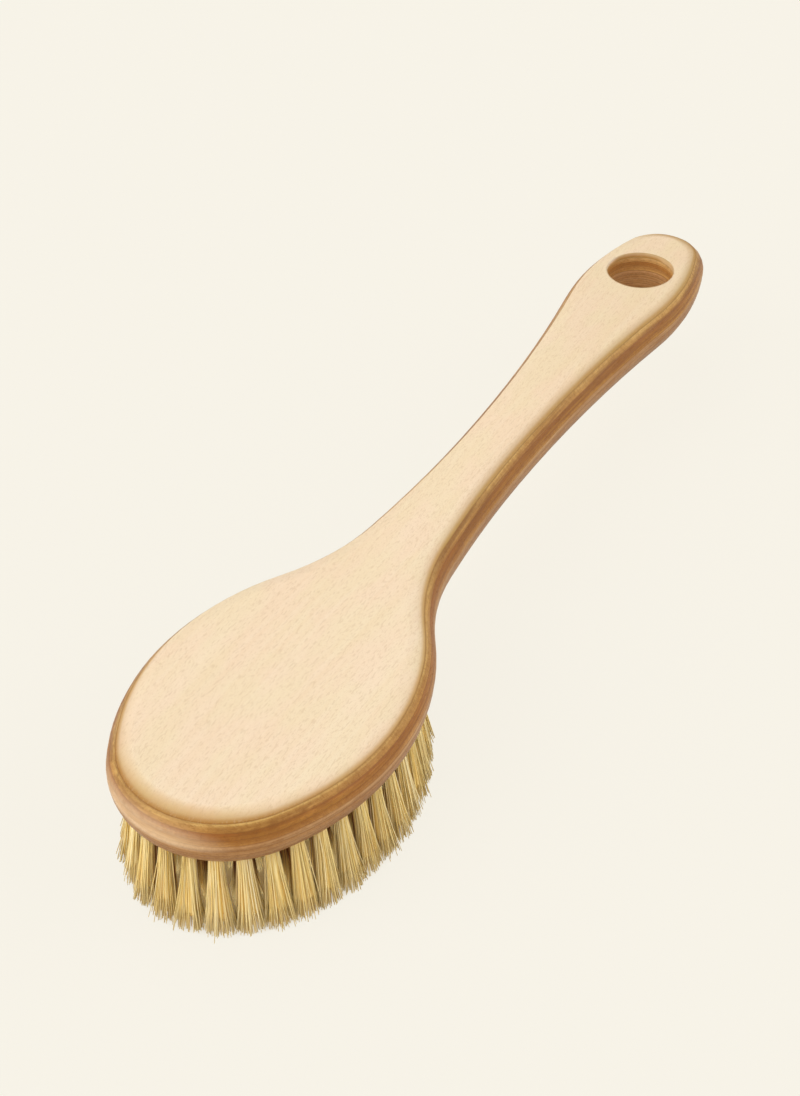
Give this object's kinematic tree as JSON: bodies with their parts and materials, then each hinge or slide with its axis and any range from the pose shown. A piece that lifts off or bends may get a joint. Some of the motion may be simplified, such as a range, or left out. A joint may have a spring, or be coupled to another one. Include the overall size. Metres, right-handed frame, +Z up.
{
  "type": "body dry brush",
  "caption": "Flat paddle brush with an oval head, slim waisted handle, rounded laminated edge, hanging hole and natural bristle tufts under the head, for dry brushing skin.",
  "frame": {"origin": "under the middle of the brush's length, on its centre line, in the plane of the trimmed bristle tips", "axes": "+X along the brush from the head towards the handle's end, +Z up out of the bare back of the head, +Y to the left when looking along +X"},
  "size_m": [0.28, 0.0664, 0.0363],
  "materials": {
    "beech_face_veneer": "satin",
    "beech_long_veneer": "satin",
    "beech_cross_veneer": "satin",
    "plant_fibre_bristle": "matte",
    "anchor_wire": "satin"
  },
  "bodies": {
    "root": {"bottom_face_veneer": "beech_face_veneer", "second_ply": "beech_cross_veneer", "third_ply": "beech_long_veneer", "fourth_ply": "beech_cross_veneer", "core_ply": "beech_long_veneer", "sixth_ply": "beech_cross_veneer", "seventh_ply": "beech_long_veneer", "eighth_ply": "beech_cross_veneer", "top_face_veneer": "beech_face_veneer", "tufts_outer_ring": "plant_fibre_bristle", "tufts_second_ring": "plant_fibre_bristle", "tufts_third_ring": "plant_fibre_bristle", "tufts_middle_row": "plant_fibre_bristle", "anchors_outer_ring": "anchor_wire", "anchors_second_ring": "anchor_wire", "anchors_third_ring": "anchor_wire", "anchors_middle_row": "anchor_wire"}
  },
  "joints": []
}
